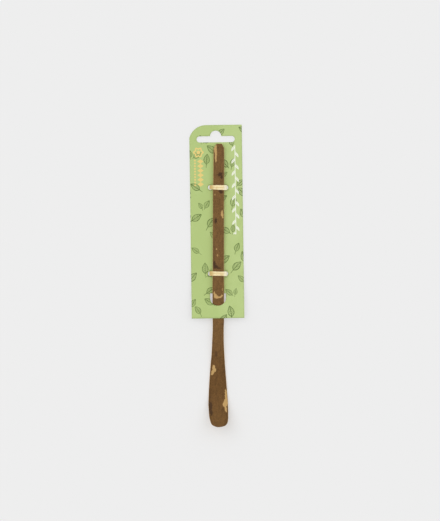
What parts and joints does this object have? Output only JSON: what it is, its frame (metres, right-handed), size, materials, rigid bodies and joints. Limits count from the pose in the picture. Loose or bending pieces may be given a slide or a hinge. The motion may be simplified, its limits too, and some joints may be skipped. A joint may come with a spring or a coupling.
{
  "type": "tea scoop on a hang card",
  "caption": "Slim bamboo tea scoop with a curled blade, strapped by two raffia ties to a printed hang card and drawn out past its foot.",
  "frame": {"origin": "on the table, under the middle of the bounding box of the card and scoop together", "axes": "+Y up the card towards its hang slot and the scoop's cut end, -Y towards the blade's tip, +X to the right seen from the printed front, +Z out of the card's front, up from the table"},
  "size_m": [0.035, 0.1918, 0.0116],
  "materials": {
    "bamboo": "satin, dark mottled skin with tan flecks, pale tan back",
    "card": "matte printed board, light green front and white back",
    "raffia": "dry cream raffia with lengthwise fibres"
  },
  "bodies": {
    "card": {"hang_card": "card", "upper_tie": "raffia", "lower_tie": "raffia"},
    "scoop": {"scoop": "bamboo"}
  },
  "joints": [
    {"name": "scoop_slide", "type": "slide", "parent": "card", "child": "scoop", "axis": [0, -1, 0], "range_m": [0, 0.118]}
  ]
}
